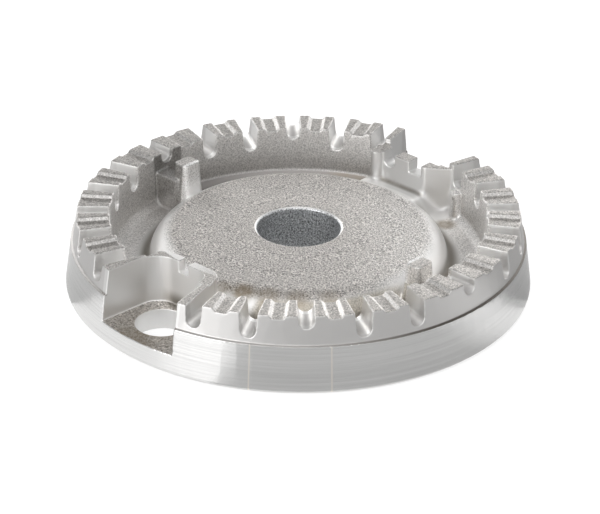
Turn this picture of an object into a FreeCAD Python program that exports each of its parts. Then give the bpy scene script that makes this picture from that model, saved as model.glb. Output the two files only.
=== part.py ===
import FreeCAD, Part
import math
import os

from FreeCAD import Vector

# Flame spreader of a gas hob burner, one aluminium casting, sizes in millimetres and degrees.
# The origin is the centre of the seat. The electrode pocket lies on -Y and the two lugs lie on X.
# Angles run from -Y, anticlockwise seen from above. Left and right are as seen from the axis.

# Turned skirt
base_diameter = 75.0
skirt_height = 7.7
skirt_set_in = 1.0
skirt_edge_break = 0.6
skirt_ledge = 0.35

# Crown that carries the flame ports
overall_height = 12.3
crown_width = 5.15
crown_set_in = 0.75
crown_inner_draft = 1.5

# Trough between the crown and the plateau
trough_floor_height = 3.4
trough_chamfer = 1.1

# Plateau in the middle of the gas chamber, with the mixture bore
plateau_height = 9.1
plateau_fall = 0.8
plateau_diameter = 47.0
plateau_flank_draft = 8.0
plateau_edge_round = 4.5
bore_diameter = 13.5
bore_chamfer = 0.4

# Cored recess on the underside
boss_wall = 2.55
recess_diameter = 38.0
plateau_thickness = 2.6

# Flame ports, a row of slots in each quadrant and one on each lug
port_width = 2.2
port_draft = 4.0
port_pitch = 14.0
ports_in_row = 5
deep_port_depth = 3.8
shallow_port_depth = 2.0

# Shallow groove across the top of each tooth
groove_depth = 0.55
groove_floor_width = 1.7

# Pockets for the spark electrode and for the flame probe, set in from the inside of the crown
pocket_floor_height = 3.45
pocket_wall_drop = 0.9
notch_depth = 1.95

electrode_wall = 1.5
electrode_well_inset = 5.45
electrode_well_left = 6.5
electrode_well_right = 4.75
electrode_corner_left = 3.5
electrode_corner_right = 2.3
electrode_mouth_inset = 2.85
electrode_mouth_left = 10.9
electrode_mouth_right = 12.3
electrode_notch_width = 2.0
electrode_notch_offset = -1.1
electrode_hole_diameter = 8.4
electrode_hole_gap = 1.25
electrode_hole_offset = -0.35

probe_wall = 2.3
probe_wall_left = 3.6
probe_wall_right = 8.1
probe_wall_end = 7.4
probe_wall_round_left = 0.9
probe_wall_round_right = 2.2
probe_well_inset = 1.35
probe_well_left = 4.8
probe_well_right = 6.2
probe_well_corner = 0.3
probe_mouth_inset = 0.8
probe_mouth_left = 12.3
probe_mouth_right = 12.3
probe_notch_width = 2.6
probe_notch_offset = -1.5
probe_port_offset = 4.15
probe_port_depth = 2.4
probe_hole_diameter = 6.0
probe_hole_gap = 0.5
probe_ledge_rise = 2.9
probe_ledge_left = 3.4
probe_ledge_right = 8.2
probe_ledge_slope = 40.0

# Lugs that centre the cap, each tied to the crown by a low web
lug_inset = 4.85
lug_depth = 2.8
lug_width = 3.4
lug_corner = 0.6
lug_drop = 0.3
lug_draft = 5.0
web_width = 3.0
web_rise = 5.9
web_offset = 1.2

# Round ejector pads on the inner walls
pad_radius = 1.0
wall_pad_offset = 6.6
wall_pad_stand = 0.3
crown_pad_angle = 161.7
crown_pad_stand = 0.5
crown_pad_rise = 5.0

# Run-out of the cutting shapes past the metal
run_out = 1.0

base_radius = base_diameter / 2
skirt_top_radius = base_radius - skirt_set_in
crown_foot_radius = skirt_top_radius - skirt_ledge
crown_top_radius = crown_foot_radius - crown_set_in
crown_inner_radius = crown_top_radius - crown_width
low_land_height = overall_height - groove_depth
pocket_wall_height = overall_height - pocket_wall_drop
notch_height = pocket_wall_height - notch_depth
plateau_edge_height = plateau_height - plateau_fall
electrode_well_radius = crown_inner_radius - electrode_well_inset
electrode_mouth_radius = crown_inner_radius - electrode_mouth_inset
electrode_hole_radius = electrode_well_radius + electrode_hole_gap + electrode_hole_diameter / 2
probe_well_radius = crown_inner_radius - probe_well_inset
probe_wall_radius = probe_well_radius - probe_wall
probe_mouth_radius = crown_inner_radius - probe_mouth_inset
probe_hole_radius = probe_well_radius + probe_hole_gap + probe_hole_diameter / 2
cut_top = overall_height + run_out
lug_angle = 90.0
row_angles = (45.0, 135.0, 225.0, 315.0)
row_middle = (ports_in_row - 1) / 2
port_beside_pocket = row_angles[0] - row_middle * port_pitch
axis_z = Vector(0, 0, 1)


def slope(angle):
    return math.tan(math.radians(angle))


def turned(shape, angle):
    copy = shape.copy()
    copy.rotate(Vector(0, 0, 0), axis_z, angle)
    return copy


def rounded_wire(corners):
    # Closed wire through corners, each a point and a radius that its two sides may limit
    count = len(corners)
    halves = []
    sides = []
    reaches = []
    for index, (point, radius) in enumerate(corners):
        before = corners[index - 1][0] - point
        after = corners[(index + 1) % count][0] - point
        half = before.getAngle(after) / 2
        halves.append(half)
        sides.append(after.Length)
        reaches.append(radius / math.tan(half))
    shares = []
    for index, side in enumerate(sides):
        taken = reaches[index] + reaches[(index + 1) % count]
        shares.append(min(1, 0.98 * side / taken) if taken > 0 else 1)
    ends = []
    for index, (point, radius) in enumerate(corners):
        if radius == 0:
            ends.append((point, None, point))
            continue
        to_before = (corners[index - 1][0] - point).normalize()
        to_after = (corners[(index + 1) % count][0] - point).normalize()
        reach = reaches[index] * min(shares[index - 1], shares[index])
        depth = reach / math.cos(halves[index]) - reach * math.tan(halves[index])
        middle = point + (to_before + to_after).normalize() * depth
        ends.append((point + to_before * reach, middle, point + to_after * reach))
    edges = []
    for index, (start, middle, end) in enumerate(ends):
        last_end = ends[index - 1][2]
        if last_end.distanceToPoint(start) > 1e-6:
            edges.append(Part.LineSegment(last_end, start).toShape())
        if middle is not None:
            edges.append(Part.Arc(start, middle, end).toShape())
    return Part.Wire(edges)


def plan_wire(corners, height):
    return rounded_wire([(Vector(x, y, height), radius) for x, y, radius in corners])


def plan_prism(corners, bottom, top):
    # Upright prism over plan corners, each x, y and radius
    return Part.Face(plan_wire(corners, bottom)).extrude(Vector(0, 0, top - bottom))


def turned_body():
    # Half section revolved about the axis: recess, skirt, crown, trough, plateau and bore
    bore_radius = bore_diameter / 2
    boss_radius = bore_radius + boss_wall
    recess_radius = recess_diameter / 2
    plateau_radius = plateau_diameter / 2
    roof_height = plateau_edge_height - plateau_thickness
    chamfer_height = trough_floor_height + trough_chamfer
    crown_wall_radius = crown_inner_radius - (overall_height - chamfer_height) * slope(crown_inner_draft)
    flank_radius = plateau_radius + (plateau_edge_height - chamfer_height) * slope(plateau_flank_draft)
    section = [
        (bore_radius, 0, 0),
        (boss_radius, 0, 0),
        (boss_radius, roof_height, 0),
        (recess_radius, roof_height, 0),
        (recess_radius, 0, 0),
        (base_radius - skirt_edge_break, 0, 0),
        (base_radius, skirt_edge_break, 0),
        (skirt_top_radius, skirt_height, 0),
        (crown_foot_radius, skirt_height, 0),
        (crown_top_radius, overall_height, 0),
        (crown_inner_radius, overall_height, 0),
        (crown_wall_radius, chamfer_height, 0),
        (crown_wall_radius - trough_chamfer, trough_floor_height, 0),
        (flank_radius + trough_chamfer, trough_floor_height, 0),
        (flank_radius, chamfer_height, 0),
        (plateau_radius, plateau_edge_height, plateau_edge_round),
        (bore_radius + bore_chamfer, plateau_height, 0),
        (bore_radius, plateau_height - bore_chamfer, 0),
    ]
    wire = rounded_wire([(Vector(r, 0, z), radius) for r, z, radius in section])
    return Part.Face(wire).revolve(Vector(0, 0, 0), axis_z, 360)


def wedge_outline(left_angle, right_angle, inner, grow):
    # Sector on -Y with straight ends, its sides moved out by grow
    outer = base_radius + run_out
    left_shift = grow / math.cos(math.radians(left_angle))
    right_shift = grow / math.cos(math.radians(right_angle))
    return [
        (-inner * slope(left_angle) - left_shift, -inner, 0),
        (inner * slope(right_angle) + right_shift, -inner, 0),
        (outer * slope(right_angle) + right_shift, -outer, 0),
        (-outer * slope(left_angle) - left_shift, -outer, 0),
    ]


def low_teeth_outline():
    return wedge_outline(port_beside_pocket, port_beside_pocket, electrode_mouth_radius, 0)


def electrode_pocket(grow, bottom, top):
    # Well on -Y with a straight left side, its right side stepping out to the mouth
    mouth = electrode_mouth_radius - grow
    wedge = wedge_outline(electrode_mouth_left, electrode_mouth_right, mouth, grow)
    left = -electrode_well_left - grow
    right = electrode_well_right + grow
    end = -electrode_well_radius + grow
    outline = [
        (left, end, electrode_corner_left + grow),
        (right, end, electrode_corner_right + grow),
        (right, -mouth, 0),
    ]
    return plan_prism(outline + wedge[1:], bottom, top)


def probe_pocket():
    # Shallow well on -Y that steps out to the mouth on both sides
    wedge = wedge_outline(probe_mouth_left, probe_mouth_right, probe_mouth_radius, 0)
    outline = [
        (-probe_well_left, -probe_mouth_radius, 0),
        (-probe_well_left, -probe_well_radius, probe_well_corner),
        (probe_well_right, -probe_well_radius, probe_well_corner),
        (probe_well_right, -probe_mouth_radius, 0),
    ]
    return plan_prism(outline + wedge[1:] + wedge[:1], pocket_floor_height, cut_top)


def probe_wall_block():
    # Wall on -Y that slants back to the crown on its left
    outer = crown_inner_radius + run_out
    outline = [
        (-probe_wall_left, -probe_wall_radius, probe_wall_round_left),
        (probe_wall_right, -probe_wall_radius, probe_wall_round_right),
        (probe_wall_right, -outer, 0),
        (-probe_wall_end, -outer, 0),
        (-probe_wall_end, -probe_mouth_radius, 0),
    ]
    return plan_prism(outline, trough_floor_height, pocket_wall_height)


def probe_ledge():
    # Raised floor on -Y between the plateau and the wall, its left end sloping into the trough
    inner = plateau_diameter / 2 - plateau_edge_round / 2
    outer = probe_well_radius - probe_wall / 5
    top = trough_floor_height + probe_ledge_rise
    foot = probe_ledge_left + probe_ledge_rise * slope(probe_ledge_slope)
    outline = Part.makePolygon([
        Vector(-foot, -outer, trough_floor_height),
        Vector(probe_ledge_right, -outer, trough_floor_height),
        Vector(probe_ledge_right, -outer, top),
        Vector(-probe_ledge_left, -outer, top),
        Vector(-foot, -outer, trough_floor_height),
    ])
    return Part.Face(outline).extrude(Vector(0, outer - inner, 0))


def slot_cutter(floor_height, offset, start, end):
    # Slot along -Y with drafted sides and a full-round floor
    half = port_width / 2
    wide = half + (cut_top - floor_height) * slope(port_draft)
    floor_radius = half * slope((90 + port_draft) / 2)
    outline = rounded_wire([
        (Vector(offset - half, -start, floor_height), floor_radius),
        (Vector(offset + half, -start, floor_height), floor_radius),
        (Vector(offset + wide, -start, cut_top), 0),
        (Vector(offset - wide, -start, cut_top), 0),
    ])
    return Part.Face(outline).extrude(Vector(0, start - end, 0))


def groove_cutter():
    # Flat groove with sloping sides along -Y, for the top of one tooth
    half = groove_floor_width / 2
    wide = half + groove_depth + run_out
    start = crown_inner_radius - run_out
    outline = Part.makePolygon([
        Vector(-half, -start, low_land_height),
        Vector(half, -start, low_land_height),
        Vector(wide, -start, cut_top),
        Vector(-wide, -start, cut_top),
        Vector(-half, -start, low_land_height),
    ])
    return Part.Face(outline).extrude(Vector(0, start - base_radius, 0))


def crown_cutters():
    # Ports and grooves round the crown
    start = crown_inner_radius - run_out
    deep_port = slot_cutter(overall_height - deep_port_depth, 0, start, base_radius)
    shallow_port = slot_cutter(overall_height - shallow_port_depth, 0, start, base_radius)
    groove = groove_cutter()
    cutters = []
    for row_angle in row_angles:
        for index in range(ports_in_row):
            port = shallow_port if index == row_middle else deep_port
            cutters.append(turned(port, row_angle + (index - row_middle) * port_pitch))
        for index in range(ports_in_row - 1):
            cutters.append(turned(groove, row_angle + (index + 0.5 - row_middle) * port_pitch))
    side_tooth = port_beside_pocket / 2
    for angle in (lug_angle, -lug_angle):
        cutters.append(turned(shallow_port, angle))
        cutters.append(turned(groove, angle - side_tooth))
        cutters.append(turned(groove, angle + side_tooth))
    return cutters


def wall_notch(well, wall, width, offset):
    # Square notch in the inner end of a pocket's wall on -Y
    corner = Vector(offset - width / 2, -well - run_out, notch_height)
    return Part.makeBox(width, wall + 2 * run_out, cut_top - notch_height, corner)


def upright_hole(diameter, radius, offset):
    return Part.makeCylinder(diameter / 2, cut_top + run_out, Vector(offset, -radius, -run_out))


def lug():
    # Drafted post on -Y, with a low web out to the crown
    lug_height = overall_height - lug_drop
    lug_radius = crown_inner_radius - lug_inset
    foot_grow = (lug_height - trough_floor_height) * slope(lug_draft)
    sections = []
    for grow, height in ((foot_grow, trough_floor_height), (0, lug_height)):
        half = lug_width / 2 + grow
        inner = -lug_radius + lug_depth / 2 + grow
        outer = -lug_radius - lug_depth / 2 - grow
        corner = lug_corner + grow
        sections.append(plan_wire([
            (-half, outer, corner), (half, outer, corner),
            (half, inner, corner), (-half, inner, corner)], height))
    post = Part.makeLoft(sections, True, True)
    web_end = crown_inner_radius + run_out
    web = Part.makeBox(
        web_width, web_end - lug_radius, web_rise,
        Vector(web_offset - web_width / 2, -web_end, trough_floor_height))
    return post.fuse(web)


def ejector_pad(offset, radius, top):
    # Round pad on -Y that stands up from the trough against a wall
    return Part.makeCylinder(
        pad_radius, top - trough_floor_height, Vector(offset, -radius, trough_floor_height))


def pocket_walls():
    # Walls round both pockets, ending inside the crown, with the roots of the teeth beside the
    # electrode, the ledge below the probe and the pads that stand against the walls
    inside = Part.makeCylinder(crown_inner_radius + run_out, overall_height)
    beside_electrode = plan_prism(low_teeth_outline(), trough_floor_height, low_land_height)
    tooth_roots = electrode_pocket(electrode_wall, trough_floor_height, low_land_height)
    wall_pad = ejector_pad(wall_pad_offset, probe_wall_radius - wall_pad_stand, pocket_wall_height)
    crown_pad = ejector_pad(
        0, crown_inner_radius - crown_pad_stand, trough_floor_height + crown_pad_rise)
    return [
        electrode_pocket(electrode_wall, trough_floor_height, pocket_wall_height).common(inside),
        tooth_roots.common(beside_electrode).common(inside),
        turned(probe_wall_block().common(inside), 180),
        turned(probe_ledge(), 180),
        turned(wall_pad, 180),
        turned(crown_pad, crown_pad_angle),
    ]


def pocket_cutters():
    # Pockets with their holes and notches, the low teeth beside the electrode and the way into
    # the ports next to these teeth
    port_entry = slot_cutter(
        overall_height - deep_port_depth, 0, electrode_mouth_radius - electrode_wall, crown_inner_radius)
    probe_cuts = [
        probe_pocket(),
        wall_notch(probe_well_radius, probe_wall, probe_notch_width, probe_notch_offset),
        slot_cutter(
            pocket_wall_height - probe_port_depth, probe_port_offset,
            probe_wall_radius - run_out, probe_mouth_radius + run_out),
        upright_hole(probe_hole_diameter, probe_hole_radius, 0),
    ]
    return [
        electrode_pocket(0, pocket_floor_height, cut_top),
        plan_prism(low_teeth_outline(), low_land_height, cut_top),
        wall_notch(electrode_well_radius, electrode_wall, electrode_notch_width, electrode_notch_offset),
        upright_hole(electrode_hole_diameter, electrode_hole_radius, electrode_hole_offset),
        turned(port_entry, port_beside_pocket),
        turned(port_entry, -port_beside_pocket),
    ] + [turned(cut, 180) for cut in probe_cuts]


spreader = turned_body()
spreader = spreader.fuse(pocket_walls() + [turned(lug(), lug_angle), turned(lug(), -lug_angle)])
spreader = spreader.cut(pocket_cutters() + crown_cutters())
spreader = spreader.removeSplitter()

os.makedirs("parts", exist_ok=True)
spreader.exportStep("parts/flame_spreader.step")
print("solids", len(spreader.Solids), "volume", round(spreader.Volume, 1), "valid", spreader.isValid())
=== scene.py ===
import bpy
import math
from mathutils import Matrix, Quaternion, Vector


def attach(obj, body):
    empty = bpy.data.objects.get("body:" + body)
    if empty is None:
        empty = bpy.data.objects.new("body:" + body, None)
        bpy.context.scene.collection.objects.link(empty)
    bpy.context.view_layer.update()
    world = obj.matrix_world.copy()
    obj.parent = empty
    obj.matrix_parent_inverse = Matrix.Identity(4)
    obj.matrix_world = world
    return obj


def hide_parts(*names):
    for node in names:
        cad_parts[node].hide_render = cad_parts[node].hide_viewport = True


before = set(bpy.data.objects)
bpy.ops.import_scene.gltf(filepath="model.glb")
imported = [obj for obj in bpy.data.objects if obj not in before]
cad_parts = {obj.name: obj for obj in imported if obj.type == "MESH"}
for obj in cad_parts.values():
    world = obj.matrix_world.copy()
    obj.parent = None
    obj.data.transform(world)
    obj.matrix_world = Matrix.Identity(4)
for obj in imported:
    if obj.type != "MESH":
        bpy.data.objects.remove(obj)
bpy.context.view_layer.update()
mm = 0.001
print("frame loaded")


def clearSelection():
    if bpy.context.mode != "OBJECT":
        bpy.ops.object.mode_set(mode="OBJECT")
    bpy.ops.object.select_all(action="DESELECT")


def pickUp(obj):
    clearSelection()
    obj.select_set(True)
    bpy.context.view_layer.objects.active = obj


def applyModifier(obj, kind, **settings):
    pickUp(obj)
    modifier = obj.modifiers.new(kind.lower(), kind)
    for key, value in settings.items():
        setattr(modifier, key, value)
    bpy.ops.object.modifier_apply(modifier=modifier.name)


# The casting: a fine skin over the solid, its edges worn soft and its inner corners filled as in a mould
castingLook = {
    "mergeGap": 0.002 * mm,
    "skinSize": 0.16 * mm,
    "passStrength": 0.5,            # of each smoothing pass
    "edgePasses": 2,                # all over the skin
    "cornerPasses": 60,             # in the corners of the trough
    "troughInner": 22.6 * mm,
    "troughOuter": 30.5 * mm,
    "troughLow": 3 * mm,
    "cornerTop": 5.6 * mm,          # they lie below this at the plateau
    "crownStart": 28.5 * mm,
    "crownCornerTop": 5.4 * mm,     # below this at the crown
    "probeStart": 21.5 * mm,
    "probeLeft": -10.5 * mm,
    "probeRight": 8.5 * mm,
    "probeCornerTop": 8.0 * mm,     # and below this by the probe wall
    "cornerFade": 1.2 * mm,
    "pocketWall": 23.4 * mm,        # the electrode pocket begins here and keeps its sharp floor
    "pocketHalf": 7.4 * mm,
    "lugPasses": 8,                 # on the tops of the lugs
    "lugPlace": 25.4 * mm,
    "lugReach": 2.6 * mm,
    "lugLow": 8 * mm,
    "webPasses": 26,                # on the lugs' feet and webs
    "webInner": 21.8 * mm,
    "webOuter": 30.7 * mm,
    "webHalf": 4.2 * mm,
    "webLow": 4 * mm,
    "webTop": 10.6 * mm,
    "webFade": 2.5 * mm,
    "ledgePasses": 160,             # on the end of the ledge by the probe wall, the roundest place
    "ledgeLeft": 1.5 * mm,
    "ledgeRight": 10 * mm,
    "ledgeLow": 3.2 * mm,
    "ledgeTop": 7.4 * mm,
    "triangles": 190000,
}


def cornerWeight(place):
    reach = math.hypot(place.x, place.y)
    inTrough = castingLook["troughInner"] < reach < castingLook["troughOuter"]
    inPocket = place.y < -castingLook["pocketWall"] and abs(place.x) < castingLook["pocketHalf"]
    if not inTrough or inPocket or place.z <= castingLook["troughLow"]:
        return 0
    top = castingLook["crownCornerTop"] if reach > castingLook["crownStart"] else castingLook["cornerTop"]
    besideProbe = castingLook["probeLeft"] < place.x < castingLook["probeRight"]
    if besideProbe and place.y > castingLook["probeStart"]:
        top = castingLook["probeCornerTop"]
    return min(1, (top - place.z) / castingLook["cornerFade"])


def lugWeight(place):
    besideLug = max(abs(abs(place.x) - castingLook["lugPlace"]), abs(place.y))
    return 1 if besideLug < castingLook["lugReach"] and place.z > castingLook["lugLow"] else 0


def webWeight(place):
    onWeb = castingLook["webInner"] < abs(place.x) < castingLook["webOuter"]
    if not onWeb or abs(place.y) >= castingLook["webHalf"] or place.z <= castingLook["webLow"]:
        return 0
    return min(1, (castingLook["webTop"] - place.z) / castingLook["webFade"])


def ledgeWeight(place):
    inTrough = math.hypot(place.x, place.y) < castingLook["troughOuter"]
    if not inTrough or place.y <= castingLook["probeStart"] or place.z <= castingLook["ledgeLow"]:
        return 0
    gap = min(
        place.x - castingLook["ledgeLeft"], castingLook["ledgeRight"] - place.x,
        castingLook["ledgeTop"] - place.z)
    return min(1, gap / castingLook["cornerFade"])


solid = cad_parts["flame_spreader"]
casting = bpy.data.objects.new("casting", solid.data.copy())
bpy.context.scene.collection.objects.link(casting)
pickUp(casting)
bpy.ops.object.mode_set(mode="EDIT")
bpy.ops.mesh.select_all(action="SELECT")
bpy.ops.mesh.remove_doubles(threshold=castingLook["mergeGap"])
bpy.ops.object.mode_set(mode="OBJECT")
applyModifier(casting, "REMESH", mode="VOXEL", voxel_size=castingLook["skinSize"])
applyModifier(casting, "SHRINKWRAP", target=solid, wrap_method="NEAREST_SURFACEPOINT")
print("skin", len(casting.data.polygons), "faces")

softAreas = [
    ("corners", cornerWeight, castingLook["cornerPasses"]),
    ("lugs", lugWeight, castingLook["lugPasses"]),
    ("webs", webWeight, castingLook["webPasses"]),
    ("ledges", ledgeWeight, castingLook["ledgePasses"]),
]
weighting = [(casting.vertex_groups.new(name=name), weightAt) for name, weightAt, passes in softAreas]
for vertex in casting.data.vertices:
    place = vertex.co
    for group, weightAt in weighting:
        weight = weightAt(place)
        if weight > 0:
            group.add([vertex.index], weight, "REPLACE")
applyModifier(casting, "SMOOTH", factor=castingLook["passStrength"], iterations=castingLook["edgePasses"])
for name, weightAt, passes in softAreas:
    applyModifier(
        casting, "SMOOTH", factor=castingLook["passStrength"], iterations=passes, vertex_group=name)
casting.vertex_groups.clear()
applyModifier(casting, "DECIMATE", ratio=castingLook["triangles"] / (2 * len(casting.data.polygons)))
casting.data.validate()     # takes out the few doubled faces
bpy.ops.object.shade_smooth()
applyModifier(casting, "WEIGHTED_NORMAL", mode="FACE_AREA")
print("casting", len(casting.data.polygons), "faces")


# Helpers for the materials: an input is a plain value or another node's output
def feed(tree, socket, value):
    if isinstance(value, bpy.types.NodeSocket):
        tree.links.new(value, socket)
    else:
        socket.default_value = value


def addNode(tree, kind, values=None, **settings):
    node = tree.nodes.new(kind)
    for key, value in settings.items():
        setattr(node, key, value)
    for key, value in (values or {}).items():
        feed(tree, node.inputs[key], value)
    return node


def newMaterial(name, values):
    material = bpy.data.materials.new(name)
    material.use_nodes = True
    shader = material.node_tree.nodes["Principled BSDF"]
    for key, value in values.items():
        shader.inputs[key].default_value = value
    return material, material.node_tree, shader


def objectPlace(tree):
    return addNode(tree, "ShaderNodeTexCoord").outputs["Object"]


def flatPlace(tree):
    values = {0: objectPlace(tree), 1: (1, 1, 0)}
    return addNode(tree, "ShaderNodeVectorMath", values, operation="MULTIPLY").outputs["Vector"]


def splitVector(tree, vector):
    outputs = addNode(tree, "ShaderNodeSeparateXYZ", {"Vector": vector}).outputs
    return outputs["X"], outputs["Y"], outputs["Z"]


def vectorValue(tree, operation, *vectors):
    values = dict(enumerate(vectors))
    return addNode(tree, "ShaderNodeVectorMath", values, operation=operation).outputs["Value"]


def mathValue(tree, operation, *numbers):
    values = dict(enumerate(numbers))
    return addNode(tree, "ShaderNodeMath", values, operation=operation).outputs["Value"]


def allOf(tree, mask, *others):
    for other in others:
        mask = mathValue(tree, "MULTIPLY", mask, other)
    return mask


def anyOf(tree, mask, *others):
    for other in others:
        mask = mathValue(tree, "MAXIMUM", mask, other)
    return mask


def opposite(tree, mask):
    return mathValue(tree, "SUBTRACT", 1, mask)


def stepMask(tree, value, span):
    values = {"Value": value, "From Min": span[0], "From Max": span[1]}
    return addNode(tree, "ShaderNodeMapRange", values, interpolation_type="SMOOTHSTEP").outputs["Result"]


def mapValue(tree, value, after, before=(0, 1)):
    return addNode(tree, "ShaderNodeMapRange", {
        "Value": value, "From Min": before[0], "From Max": before[1],
        "To Min": after[0], "To Max": after[1]}).outputs["Result"]


def addNoise(tree, vector, settings):
    scale, detail, roughness = settings
    return addNode(tree, "ShaderNodeTexNoise", {
        "Vector": vector, "Scale": scale, "Detail": detail, "Roughness": roughness}).outputs["Fac"]


def mixColours(tree, mask, first, second):
    node = addNode(tree, "ShaderNodeMix", {"Factor": mask}, data_type="RGBA")
    colours = {socket.name: socket for socket in node.inputs if socket.type == "RGBA"}
    feed(tree, colours["A"], first)
    feed(tree, colours["B"], second)
    return [socket for socket in node.outputs if socket.type == "RGBA"][0]


def scaleColour(tree, colour, factor):
    values = {0: colour, "Scale": factor}
    return addNode(tree, "ShaderNodeVectorMath", values, operation="SCALE").outputs["Vector"]


def addBump(tree, shader, height, distance):
    bump = addNode(tree, "ShaderNodeBump", {"Strength": 1, "Distance": distance, "Height": height})
    tree.links.new(bump.outputs["Normal"], shader.inputs["Normal"])


# Cast aluminium: smooth where it left the mould's walls, grainy and darker on the lands that face up
castFinish = {
    "smoothColour": (0.8, 0.795, 0.785, 1),
    "chamberColour": (0.775, 0.762, 0.748, 1),
    "outerColour": (0.705, 0.695, 0.684, 1),
    "boreShadeColour": (0.63, 0.64, 0.65, 1),
    "lugShadedColour": (0.4, 0.39, 0.378, 1),
    "lugLitSide": (0.74, 0.722, 0.702, 1),
    "rimHighlightColour": (0.95, 0.942, 0.93, 1),
    "slopeColour": (0.56, 0.547, 0.532, 1),
    "slopeFarShade": (0.42, 0.41, 0.398, 1),
    "portShadeColour": (0.6, 0.588, 0.574, 1),
    "nearColour": (0.47, 0.44, 0.39, 1),
    "plateauColour": (0.535, 0.513, 0.492, 1),
    "plateauLitSide": (0.7, 0.678, 0.656, 1),
    "toothColour": (0.42, 0.404, 0.387, 1),
    "toothLitSide": (0.56, 0.539, 0.516, 1),
    "toothFarShading": (0.46, 0.443, 0.424, 1),
    "backShadeColour": (0.42, 0.395, 0.385, 1),
    "backFootShade": (0.28, 0.266, 0.256, 1),
    "creaseDirtAndShade": (0.3, 0.28, 0.25, 1),
    "stainAndShadeColour": (0.27, 0.215, 0.145, 1),
    "ledgeShadeColour": (0.16, 0.145, 0.13, 1),
    "rimStrength": 0.93,
    "backShadeStrength": 0.2,
    "ledgeShadeLeast": 0.45,             # the ledge's painted shade on its lighter side
    "toothGrain": 0.65,             # grain, as a share of the plateau's
    "chamberGrain": 0.42,
    "lugGrain": 0.5,
    "slopeGrain": 0.5,
    "nearGrain": 0.45,
    "grainNoise": (4200, 2, 0.6),   # scale, detail and roughness
    "grainSpan": (0.3, 0.7),
    "grainTone": 0.8,
    "grainHeight": 0.06 * mm,
    "wallPits": 0.12,               # pits where there is no grain
    "smoothRoughness": 0.45,
    "grainRoughness": 0.5,
    "stainNoise": (420, 4, 0.7),
    "stainSpan": (0.2, 0.55),
    "stainLeast": 0.4,              # a stain's strength between its patches
    "stainCore": 0.25,              # share of a stain's reach that has its full strength
    "stainsAndShade": [                     # place in mm, reach in mm, strength
        ((4.1, -21.8, 8.2), 2.2, 0.55),
        ((7.5, -20.7, 8.2), 2.8, 0.8),
        ((11.2, -18.9, 8.2), 2.8, 0.6),
        ((15.0, -16.3, 8.2), 2.8, 0.5),
        ((18.6, -12.8, 8.2), 2.8, 0.4),
        ((0.0, -33.5, 3.4), 12.0, 0.35),
        ((0.0, -37.5, 3.4), 5.5, 0.45),
        ((9.5, 25.4, 3.4), 2.4, 0.8),
        # this spot is painted shade on the far trough, laid in the stain colour
        ((-12.0, 27.5, 4.5), 7.0, 0.4),
    ],
}

# Where each area of the casting begins, and where it is full
castAreas = {
    "rightSide": (0.73, 0.68, 0),           # directions in the photograph
    "backSide": (-0.68, 0.73, 0),
    "faceUp": (0.72, 0.9),                  # upward part of a face's normal
    "lying": (0.3, 0.6),
    "landHeight": (10.9 * mm, 11.2 * mm),   # the tops of the teeth
    "toothLitSide": (-26 * mm, -8 * mm),
    "plateauEdge": (24.5 * mm, 23 * mm),
    "plateauLitSide": (3 * mm, 24 * mm),
    "rimStart": (20 * mm, 22.2 * mm),       # the plateau's edge, smoother to both sides, with a painted highlight there
    "rimEnd": (25 * mm, 24.6 * mm),
    "rimSides": (9 * mm, 17 * mm),
    "nearInner": (21.5 * mm, 22.8 * mm),    # its near stretch, stained and grainy
    "nearOuter": (29 * mm, 27.5 * mm),
    "nearSide": (-14 * mm, -20 * mm),
    "nearTop": (8.9 * mm, 8.4 * mm),
    "nearStart": (9.5 * mm, 11 * mm),
    "boreEdge": (6.95 * mm, 6.85 * mm),
    "pocketStart": (-24.6 * mm, -25.2 * mm),    # the electrode pocket
    "pocketHalf": (8.3 * mm, 8.1 * mm),
    "probeLeft": (-9.7 * mm, -9.2 * mm),    # the probe wall
    "probeRight": (8.7 * mm, 8.2 * mm),
    "probeStart": (21.5 * mm, 22 * mm),
    "chamberStart": (25.6 * mm, 26.6 * mm),     # the walls round the trough
    "chamberEnd": (30.9 * mm, 30.5 * mm),
    "farSide": (12 * mm, 22 * mm),          # along the direction to the back
    "backStart": (24 * mm, 25.5 * mm),      # the far wall, with painted shade low down
    "backTop": (8 * mm, 4.5 * mm),
    "lugHalf": (3.4 * mm, 2.9 * mm),
    "lugStart": (22.4 * mm, 22.7 * mm),
    "lugEnd": (31 * mm, 30.6 * mm),
    "lugFace": (23.6 * mm, 23.9 * mm),      # outside this a lug reaches down to the trough
    "lugFoot": (8.8 * mm, 9.3 * mm),        # inside it, to here
    "lugLitSide": (-5 * mm, 5 * mm),
    "portInner": (31 * mm, 31.3 * mm),
    "portOuter": (35.4 * mm, 34.2 * mm),
    "outerStart": (34 * mm, 34.6 * mm),
    "footStart": (25.5 * mm, 26.4 * mm),    # dirt along the foot of the probe wall
    "footEnd": (28.6 * mm, 28.2 * mm),
    "footTop": (7.1 * mm, 6.3 * mm),
    "footRight": (3.8 * mm, 2.8 * mm),
    "creaseInner": (23.2 * mm, 24 * mm),    # painted shade at the foot of the plateau
    "creaseOuter": (26.6 * mm, 24.6 * mm),
    "creaseTop": (6.2 * mm, 4 * mm),
    "ledgeStart": (35.9 * mm, 36 * mm),     # painted shade in the ledge over the skirt
    "ledgeLow": (7.45 * mm, 7.6 * mm),
    "ledgeTop": (7.9 * mm, 7.75 * mm),
    "ledgeSides": (0, 20 * mm),
}


def areaMask(tree, *limits):
    return allOf(tree, *[stepMask(tree, value, castAreas[name]) for value, name in limits])


castMaterial, tree, shader = newMaterial("castAluminium", {"Metallic": 1})
place = objectPlace(tree)
x, y, z = splitVector(tree, place)
aside = mathValue(tree, "ABSOLUTE", x)
across = mathValue(tree, "ABSOLUTE", y)
reach = vectorValue(tree, "LENGTH", flatPlace(tree))
toRight = vectorValue(tree, "DOT_PRODUCT", place, castAreas["rightSide"])
toSides = mathValue(tree, "ABSOLUTE", toRight)
toBack = vectorValue(tree, "DOT_PRODUCT", place, castAreas["backSide"])
normal = addNode(tree, "ShaderNodeNewGeometry").outputs["Normal"]
upward = splitVector(tree, normal)[2]

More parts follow.
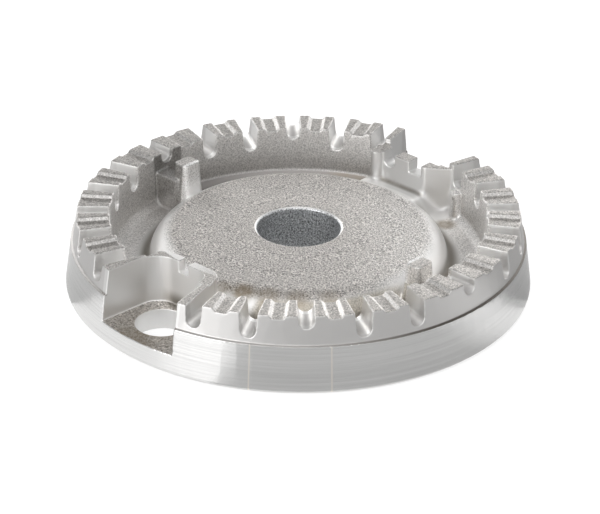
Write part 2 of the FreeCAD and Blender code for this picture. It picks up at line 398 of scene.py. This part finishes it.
# Its areas
faceUp = areaMask(tree, (upward, "faceUp"))
lying = areaMask(tree, (upward, "lying"))
onLand = areaMask(tree, (z, "landHeight"))
offLand = opposite(tree, onLand)
inPocket = areaMask(tree, (y, "pocketStart"), (aside, "pocketHalf"))
offPocket = opposite(tree, inPocket)
rimSides = areaMask(tree, (reach, "rimStart"), (reach, "rimEnd"), (toSides, "rimSides"))
# the rim to both sides: smoother, and also carrying a painted highlight
smoothRimHighlight = mathValue(tree, "MULTIPLY", rimSides, castFinish["rimStrength"])
lands = anyOf(tree, onLand, areaMask(tree, (reach, "plateauEdge")), inPocket)
landed = allOf(tree, faceUp, lands, opposite(tree, smoothRimHighlight))
onSlope = allOf(tree, lying, onLand, opposite(tree, faceUp))
nearEdge = areaMask(
    tree, (reach, "nearInner"), (reach, "nearOuter"), (toBack, "nearSide"),
    (z, "nearTop"), (x, "nearStart"))
inBore = areaMask(tree, (reach, "boreEdge"))
atProbe = areaMask(tree, (x, "probeLeft"), (x, "probeRight"), (y, "probeStart"))
chamberWalls = areaMask(tree, (reach, "chamberStart"), (reach, "chamberEnd"))
onWall = allOf(tree, chamberWalls, offPocket, opposite(tree, atProbe))
farSide = areaMask(tree, (toBack, "farSide"))
shadedBack = allOf(tree, farSide, chamberWalls, areaMask(tree, (reach, "backStart"), (z, "backTop")))
lugHeight = anyOf(tree, areaMask(tree, (aside, "lugFace")), areaMask(tree, (z, "lugFoot")))
lugWidth = areaMask(tree, (across, "lugHalf"), (aside, "lugStart"), (aside, "lugEnd"))
onLug = allOf(tree, lugWidth, lugHeight)
inPorts = allOf(tree, areaMask(tree, (reach, "portInner"), (reach, "portOuter")), lying, offLand, offPocket)
onOutside = allOf(tree, areaMask(tree, (reach, "outerStart")), offPocket)

# Its grain, strongest on the plateau
lessTooth = mapValue(tree, onLand, (1, castFinish["toothGrain"]))
grainy = anyOf(tree, allOf(tree, landed, lessTooth), inBore)
for mask, strength in (
        (onWall, "chamberGrain"), (onLug, "lugGrain"), (onSlope, "slopeGrain"), (nearEdge, "nearGrain")):
    grainy = anyOf(tree, grainy, mathValue(tree, "MULTIPLY", mask, castFinish[strength]))
grain = addNoise(tree, place, castFinish["grainNoise"])
swing = castFinish["grainTone"]
grainTone = mapValue(tree, grain, (-swing, swing), castFinish["grainSpan"])
speckle = mathValue(tree, "MULTIPLY_ADD", grainTone, grainy, 1)
depth = mapValue(tree, grainy, (castFinish["wallPits"], 1))
addBump(tree, shader, allOf(tree, grain, depth), castFinish["grainHeight"])
dull = mapValue(tree, landed, (castFinish["smoothRoughness"], castFinish["grainRoughness"]))
tree.links.new(dull, shader.inputs["Roughness"])

# Its colours, each laid over the ones before
# painted light and shade: the lug at +x is painted lighter, the lug at -x darker
lugLitMask = areaMask(tree, (x, "lugLitSide"))
lugTone = mixColours(tree, lugLitMask, castFinish["lugShadedColour"], castFinish["lugLitSide"])
# painted shade: the groove slopes darker on the far side
slopeTone = mixColours(tree, farSide, castFinish["slopeColour"], castFinish["slopeFarShade"])
# painted light: the plateau's lands lighter towards the right side
plateauLitMask = areaMask(tree, (toRight, "plateauLitSide"))
plateauTone = mixColours(tree, plateauLitMask, castFinish["plateauColour"], castFinish["plateauLitSide"])
# painted light and shade: the teeth lighter towards the right side, the far teeth in a painted tone of
# their own
teethLitMask = areaMask(tree, (toRight, "toothLitSide"))
toothTone = mixColours(tree, teethLitMask, castFinish["toothColour"], castFinish["toothLitSide"])
toothTone = mixColours(tree, farSide, toothTone, castFinish["toothFarShading"])
layers = [
    (anyOf(tree, onWall, onLug), castFinish["chamberColour"]),
    (onOutside, castFinish["outerColour"]),
    # painted shade inside the bore
    (inBore, castFinish["boreShadeColour"]),
    (onLug, lugTone),
    # painted highlight on the rim's two sides
    (smoothRimHighlight, castFinish["rimHighlightColour"]),
    (onSlope, slopeTone),
    # painted shade in the port slots
    (inPorts, castFinish["portShadeColour"]),
    (nearEdge, castFinish["nearColour"]),
    (landed, mixColours(tree, onLand, plateauTone, toothTone)),
]
colour = castFinish["smoothColour"]
for mask, tone in layers:
    colour = mixColours(tree, mask, colour, tone)
colour = scaleColour(tree, colour, speckle)

# Its stain spots, dirt and painted shade, which hide the grain
stainBreak = addNoise(tree, place, castFinish["stainNoise"])
broken = mapValue(tree, stainBreak, (castFinish["stainLeast"], 1), castFinish["stainSpan"])
patchy = allOf(tree, broken, lying)
wallFoot = areaMask(tree, (y, "footStart"), (y, "footEnd"), (z, "footTop"), (x, "footRight"))
dirtAndShade = [
    # painted shade on the far wall and trough, low down
    (mathValue(tree, "MULTIPLY", shadedBack, castFinish["backShadeStrength"]), castFinish["backShadeColour"]),
    (allOf(tree, shadedBack, lying), castFinish["backFootShade"]),
    (allOf(tree, wallFoot, atProbe, broken), castFinish["creaseDirtAndShade"]),
]
for spot, size, strength in castFinish["stainsAndShade"]:
    away = vectorValue(tree, "DISTANCE", place, [value * mm for value in spot])
    near = stepMask(tree, away, (size * mm, castFinish["stainCore"] * size * mm))
    spotMark = allOf(tree, mathValue(tree, "MULTIPLY", near, strength), patchy)
    dirtAndShade.append((spotMark, castFinish["stainAndShadeColour"]))
# painted shade in the crease at the plateau's foot
creaseShade = areaMask(tree, (reach, "creaseInner"), (reach, "creaseOuter"), (z, "creaseTop"))
dirtAndShade.append((creaseShade, castFinish["creaseDirtAndShade"]))
# painted shade in the ledge's gap, darker towards the right
onLedge = areaMask(tree, (reach, "ledgeStart"), (z, "ledgeLow"), (z, "ledgeTop"))
moreRight = mapValue(tree, toRight, (castFinish["ledgeShadeLeast"], 1), castAreas["ledgeSides"])
dirtAndShade.append((allOf(tree, onLedge, moreRight), castFinish["ledgeShadeColour"]))
for mask, tone in dirtAndShade:
    colour = mixColours(tree, mask, colour, tone)
tree.links.new(colour, shader.inputs["Base Color"])

# Turned aluminium on the skirt, with fine lines round the axis
turnFinish = {
    "colour": (0.8, 0.797, 0.79),
    "roughness": 0.24,
    "anisotropy": 0.8,
    "anisotropyTurn": 0.25,
    "lineScale": (30, 30, 3200),
    "lineNoise": (1, 3, 0.65),      # scale, detail and roughness
    "lineSpan": (0.3, 0.7),
    "lineTone": 0.1,
    "lineHeight": 0.003 * mm,
    "topEdge": 7.62 * mm,           # the skirt lies below this
    "innerEdge": 36.2 * mm,         # and outside this
    "outward": 0.6,                 # its faces point outwards at least so much
    "marks": (31.7, 50.9),          # two thin pale lines down the skirt, in degrees from the front
    "markHalf": (0.16 * mm, 0.048 * mm),
    "markStart": (20 * mm, 30 * mm),
    "markColour": (1, 0.95, 0.87, 1),
}
turnMaterial, tree, shader = newMaterial("turnedAluminium", {
    "Metallic": 1, "Roughness": turnFinish["roughness"], "Anisotropic": turnFinish["anisotropy"],
    "Anisotropic Rotation": turnFinish["anisotropyTurn"]})
around = addNode(tree, "ShaderNodeTangent", direction_type="RADIAL", axis="Z")
tree.links.new(around.outputs["Tangent"], shader.inputs["Tangent"])
place = objectPlace(tree)
upright = addNode(tree, "ShaderNodeMapping", {"Vector": place, "Scale": turnFinish["lineScale"]})
lines = addNoise(tree, upright.outputs["Vector"], turnFinish["lineNoise"])
addBump(tree, shader, lines, turnFinish["lineHeight"])
swing = turnFinish["lineTone"]
lineTone = mapValue(tree, lines, (1 - swing, 1 + swing), turnFinish["lineSpan"])
colour = scaleColour(tree, turnFinish["colour"], lineTone)
for mark in turnFinish["marks"]:
    turned = math.radians(mark)
    beside = vectorValue(tree, "DOT_PRODUCT", place, (math.cos(turned), math.sin(turned), 0))
    ahead = vectorValue(tree, "DOT_PRODUCT", place, (math.sin(turned), -math.cos(turned), 0))
    onLine = stepMask(tree, mathValue(tree, "ABSOLUTE", beside), turnFinish["markHalf"])
    onMark = allOf(tree, onLine, stepMask(tree, ahead, turnFinish["markStart"]))
    colour = mixColours(tree, onMark, colour, turnFinish["markColour"])
tree.links.new(colour, shader.inputs["Base Color"])

casting.data.materials.clear()
casting.data.materials.append(castMaterial)
casting.data.materials.append(turnMaterial)
for face in casting.data.polygons:
    middle = face.center
    outward = Vector((middle.x, middle.y, 0)).normalized().dot(face.normal)
    onSkirt = math.hypot(middle.x, middle.y) > turnFinish["innerEdge"] and middle.z < turnFinish["topEdge"]
    face.material_index = 1 if onSkirt and outward > turnFinish["outward"] else 0

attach(casting, "root")
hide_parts("flame_spreader")
print("finishes set")

# Studio: white floor, pale room, soft boxes all round, grey cards in front and to both sides
studio = {
    "floorRadius": 1.2,
    "floorSides": 96,
    "floorColour": (0.45, 0.45, 0.45, 1),
    "floorGlow": 0.66,
    "floorShine": 0.5,              # as the metal sees it
    "floorDark": (21 * mm, 25 * mm),    # no light reaches the floor under the bore
    "paperRoughness": 0.9,          # of the floor and the cards
    "white": (1, 1, 1, 1),
    "worldStrength": 0.55,
    "cardColour": (0.48, 0.48, 0.48, 1),
    "leftColour": (0.48, 0.48, 0.48, 1),
    "rightColour": (0.33, 0.33, 0.33, 1),
    "cardInner": 37.7 * mm,
    "cardOuter": 260 * mm,
    "cardLift": 0.3 * mm,
    "cardRise": 200 * mm,
    "cardSteps": 24,
    "cardLeft": 21.5,               # degrees to each side of the camera
    "cardRight": 78,
    "cardSoft": 5,                  # the left end fades over this
    "cardFade": 30,                 # and the right end over this
    "sideNear": 74,                 # the cards to both sides
    "sideFar": 170,
    "softBoxes": [                  # degrees from the camera, degrees up, distance, width, height, watts
        ("leftBox", -48, 15, 0.6, 0.34, 0.4, 1.2),
        ("leftBackBox", -150, 11, 0.7, 0.3, 0.25, 2.8),
        ("frontTopBox", -5, 52, 0.7, 1.0, 0.6, 2.3),
        ("rightBackBox", 152, 13, 0.7, 0.4, 0.25, 3.3),
    ],
}
clearSelection()
bpy.ops.mesh.primitive_circle_add(
    vertices=studio["floorSides"], radius=studio["floorRadius"], fill_type="NGON", location=(0, 0, 0))
floor = bpy.context.object
floor.name = "floor"
floorMaterial, tree, shader = newMaterial("whitePaper", {
    "Base Color": studio["floorColour"], "Roughness": studio["paperRoughness"], "Specular IOR Level": 0,
    "Emission Color": studio["white"]})
rays = addNode(tree, "ShaderNodeLightPath").outputs
shone = anyOf(tree, rays["Is Glossy Ray"], rays["Is Transmission Ray"])
shine = mathValue(tree, "MULTIPLY", shone, studio["floorShine"])
seen = mathValue(tree, "MULTIPLY_ADD", rays["Is Camera Ray"], studio["floorGlow"], shine)
floorReach = vectorValue(tree, "LENGTH", objectPlace(tree))
openFloor = mapValue(tree, floorReach, (0, 1), studio["floorDark"])
tree.links.new(allOf(tree, seen, openFloor), shader.inputs["Emission Strength"])
floor.data.materials.append(floorMaterial)

world = bpy.data.worlds.new("whiteRoom")
bpy.context.scene.world = world
world.use_nodes = True
room = world.node_tree.nodes["Background"]
room.inputs["Color"].default_value = studio["white"]
room.inputs["Strength"].default_value = studio["worldStrength"]

# Camera, placed from the photograph's own perspective
photoView = {
    "azimuth": 42.9,
    "elevation": 28.37,
    "distance": 407 * mm,
    "lens": 150.7,
    "roll": 0.605,
    "shiftX": 0.003,
    "shiftY": 0.0313,
    "clipStart": 10 * mm,
}


def aimDirection(azimuth, elevation):
    turned = math.radians(azimuth)
    raised = math.radians(elevation)
    level = math.cos(raised)
    return Vector((math.sin(turned) * level, -math.cos(turned) * level, math.sin(raised)))


def addSoftBox(name, azimuth, elevation, distance, width, height, watts):
    light = bpy.data.lights.new(name, "AREA")
    light.shape = "RECTANGLE"
    light.size = width
    light.size_y = height
    light.energy = watts
    lamp = bpy.data.objects.new(name, light)
    bpy.context.scene.collection.objects.link(lamp)
    away = aimDirection(azimuth, elevation)
    lamp.location = away * distance
    lamp.rotation_mode = "QUATERNION"
    lamp.rotation_quaternion = away.to_track_quat("Z", "Y")
    lamp.visible_camera = False


def addCard(name, first, last, shade, firstFade=0, lastFade=0):
    points = []
    faces = []
    for step in range(studio["cardSteps"] + 1):
        away = aimDirection(first + (last - first) * step / studio["cardSteps"], 0)
        points.append(away * studio["cardInner"] + Vector((0, 0, studio["cardLift"])))
        points.append(away * studio["cardOuter"] + Vector((0, 0, studio["cardLift"])))
        points.append(away * studio["cardOuter"] + Vector((0, 0, studio["cardRise"])))
        if step:
            low = 3 * (step - 1)    # three points to a step
            faces.append((low, low + 1, low + 4, low + 3))
            faces.append((low + 1, low + 2, low + 5, low + 4))
    card = bpy.data.objects.new(name, bpy.data.meshes.new(name))
    card.data.from_pydata(points, [], faces)
    bpy.context.scene.collection.objects.link(card)
    cardMaterial, tree, shader = newMaterial(name, {
        "Base Color": shade, "Roughness": studio["paperRoughness"]})
    if firstFade:
        flat = flatPlace(tree)
        along = addNode(tree, "ShaderNodeVectorMath", {0: flat}, operation="NORMALIZE").outputs["Vector"]
        ends = []
        for end, fade in ((first, firstFade), (last, lastFade)):
            toEnd = vectorValue(tree, "DOT_PRODUCT", along, aimDirection(end, 0))
            ends.append(stepMask(tree, toEnd, (1, math.cos(math.radians(fade)))))
        tree.links.new(allOf(tree, *ends), shader.inputs["Alpha"])
    card.data.materials.append(cardMaterial)
    card.visible_camera = False
    card.visible_diffuse = False
    card.visible_shadow = False


viewSide = photoView["azimuth"]
addCard(
    "greyCard", viewSide - studio["cardLeft"] - studio["cardSoft"] / 2, viewSide + studio["cardRight"],
    studio["cardColour"], studio["cardSoft"], studio["cardFade"])
addCard("leftCard", viewSide - studio["sideFar"], viewSide - studio["sideNear"], studio["leftColour"])
addCard("rightCard", viewSide + studio["sideNear"], viewSide + studio["sideFar"], studio["rightColour"])
for name, fromView, elevation, distance, width, height, watts in studio["softBoxes"]:
    addSoftBox(name, viewSide + fromView, elevation, distance, width, height, watts)

camData = bpy.data.cameras.new("photoCamera")
camData.lens = photoView["lens"]
camData.shift_x = photoView["shiftX"]
camData.shift_y = photoView["shiftY"]
camData.clip_start = photoView["clipStart"]
camera = bpy.data.objects.new("photoCamera", camData)
bpy.context.scene.collection.objects.link(camera)
back = aimDirection(photoView["azimuth"], photoView["elevation"])
camera.location = back * photoView["distance"]
camera.rotation_mode = "QUATERNION"
turn = Quaternion((0, 0, 1), math.radians(photoView["roll"]))
camera.rotation_quaternion = (-back).to_track_quat("-Z", "Y") @ turn
bpy.context.scene.camera = camera
bpy.context.scene.view_settings.view_transform = "Standard"
print("studio set")
